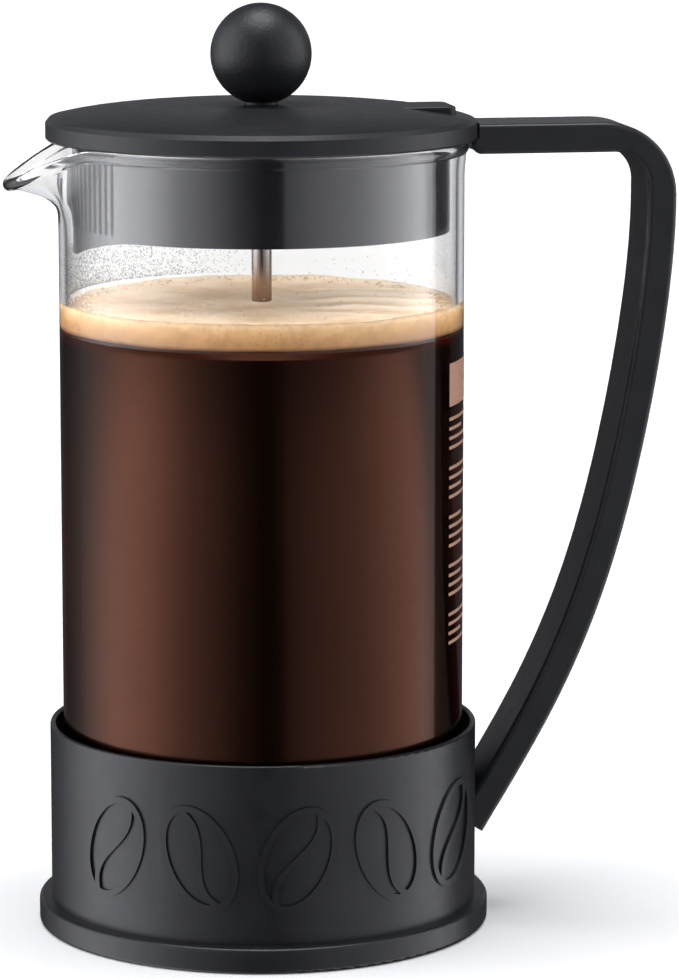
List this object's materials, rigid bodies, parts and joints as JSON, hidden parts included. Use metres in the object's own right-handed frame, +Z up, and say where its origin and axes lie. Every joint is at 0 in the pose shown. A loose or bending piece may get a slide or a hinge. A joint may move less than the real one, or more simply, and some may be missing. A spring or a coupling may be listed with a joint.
{
  "type": "french press",
  "caption": "Press-pot coffee maker: glass beaker with a pouring lip in a one-piece frame with loop handle, domed lid and a plunger with a layered filter.",
  "frame": {"origin": "on the beaker's axis, in the plane that the frame stands on", "axes": "+Z up along the beaker's axis, +X towards the handle, -X towards the pouring lip"},
  "size_m": [0.1598, 0.1084, 0.2206],
  "materials": {
    "frame_plastic": "fine moulded grain, satin",
    "lid_plastic": "fine spark-eroded grain, matt",
    "skirt_plastic": "smooth moulded",
    "knob_plastic": "fine grain, satin",
    "beaker_glass": "clear borosilicate, fire polished",
    "insert_brass": "turned",
    "rod_steel": "drawn and polished",
    "plate_steel": "pressed sheet, satin",
    "spring_steel": "drawn wire",
    "mesh_steel": "fine woven wire",
    "hub_steel": "turned"
  },
  "bodies": {
    "frame_body": {"base_frame": "frame_plastic"},
    "beaker_body": {"glass_beaker": "beaker_glass"},
    "lid_body": {"lid_dome": "lid_plastic", "strainer_skirt": "skirt_plastic"},
    "plunger_body": {"ball_knob": "knob_plastic", "knob_insert": "insert_brass", "plunger_rod": "rod_steel", "rod_collar": "rod_steel", "spiral_plate": "plate_steel", "edge_spring": "spring_steel", "mesh_screen": "mesh_steel"},
    "cross_body": {"cross_plate": "plate_steel", "plate_hub": "hub_steel"}
  },
  "joints": [
    {"name": "beaker_lift", "type": "slide", "parent": "frame_body", "child": "beaker_body", "axis": [0, 0, 1], "range_m": [0, 0.06]},
    {"name": "lid_lift", "type": "slide", "parent": "beaker_body", "child": "lid_body", "axis": [0, 0, 1], "range_m": [0, 0.19]},
    {"name": "plunger_slide", "type": "slide", "parent": "lid_body", "child": "plunger_body", "axis": [0, 0, 1], "range_m": [0, 0.139]},
    {"name": "cross_plate_unscrew", "type": "hinge", "parent": "plunger_body", "child": "cross_body", "pos_m": [0, 0, 0.0162], "axis": [0, 0, 1], "range_deg": [-1800, 0]}
  ]
}
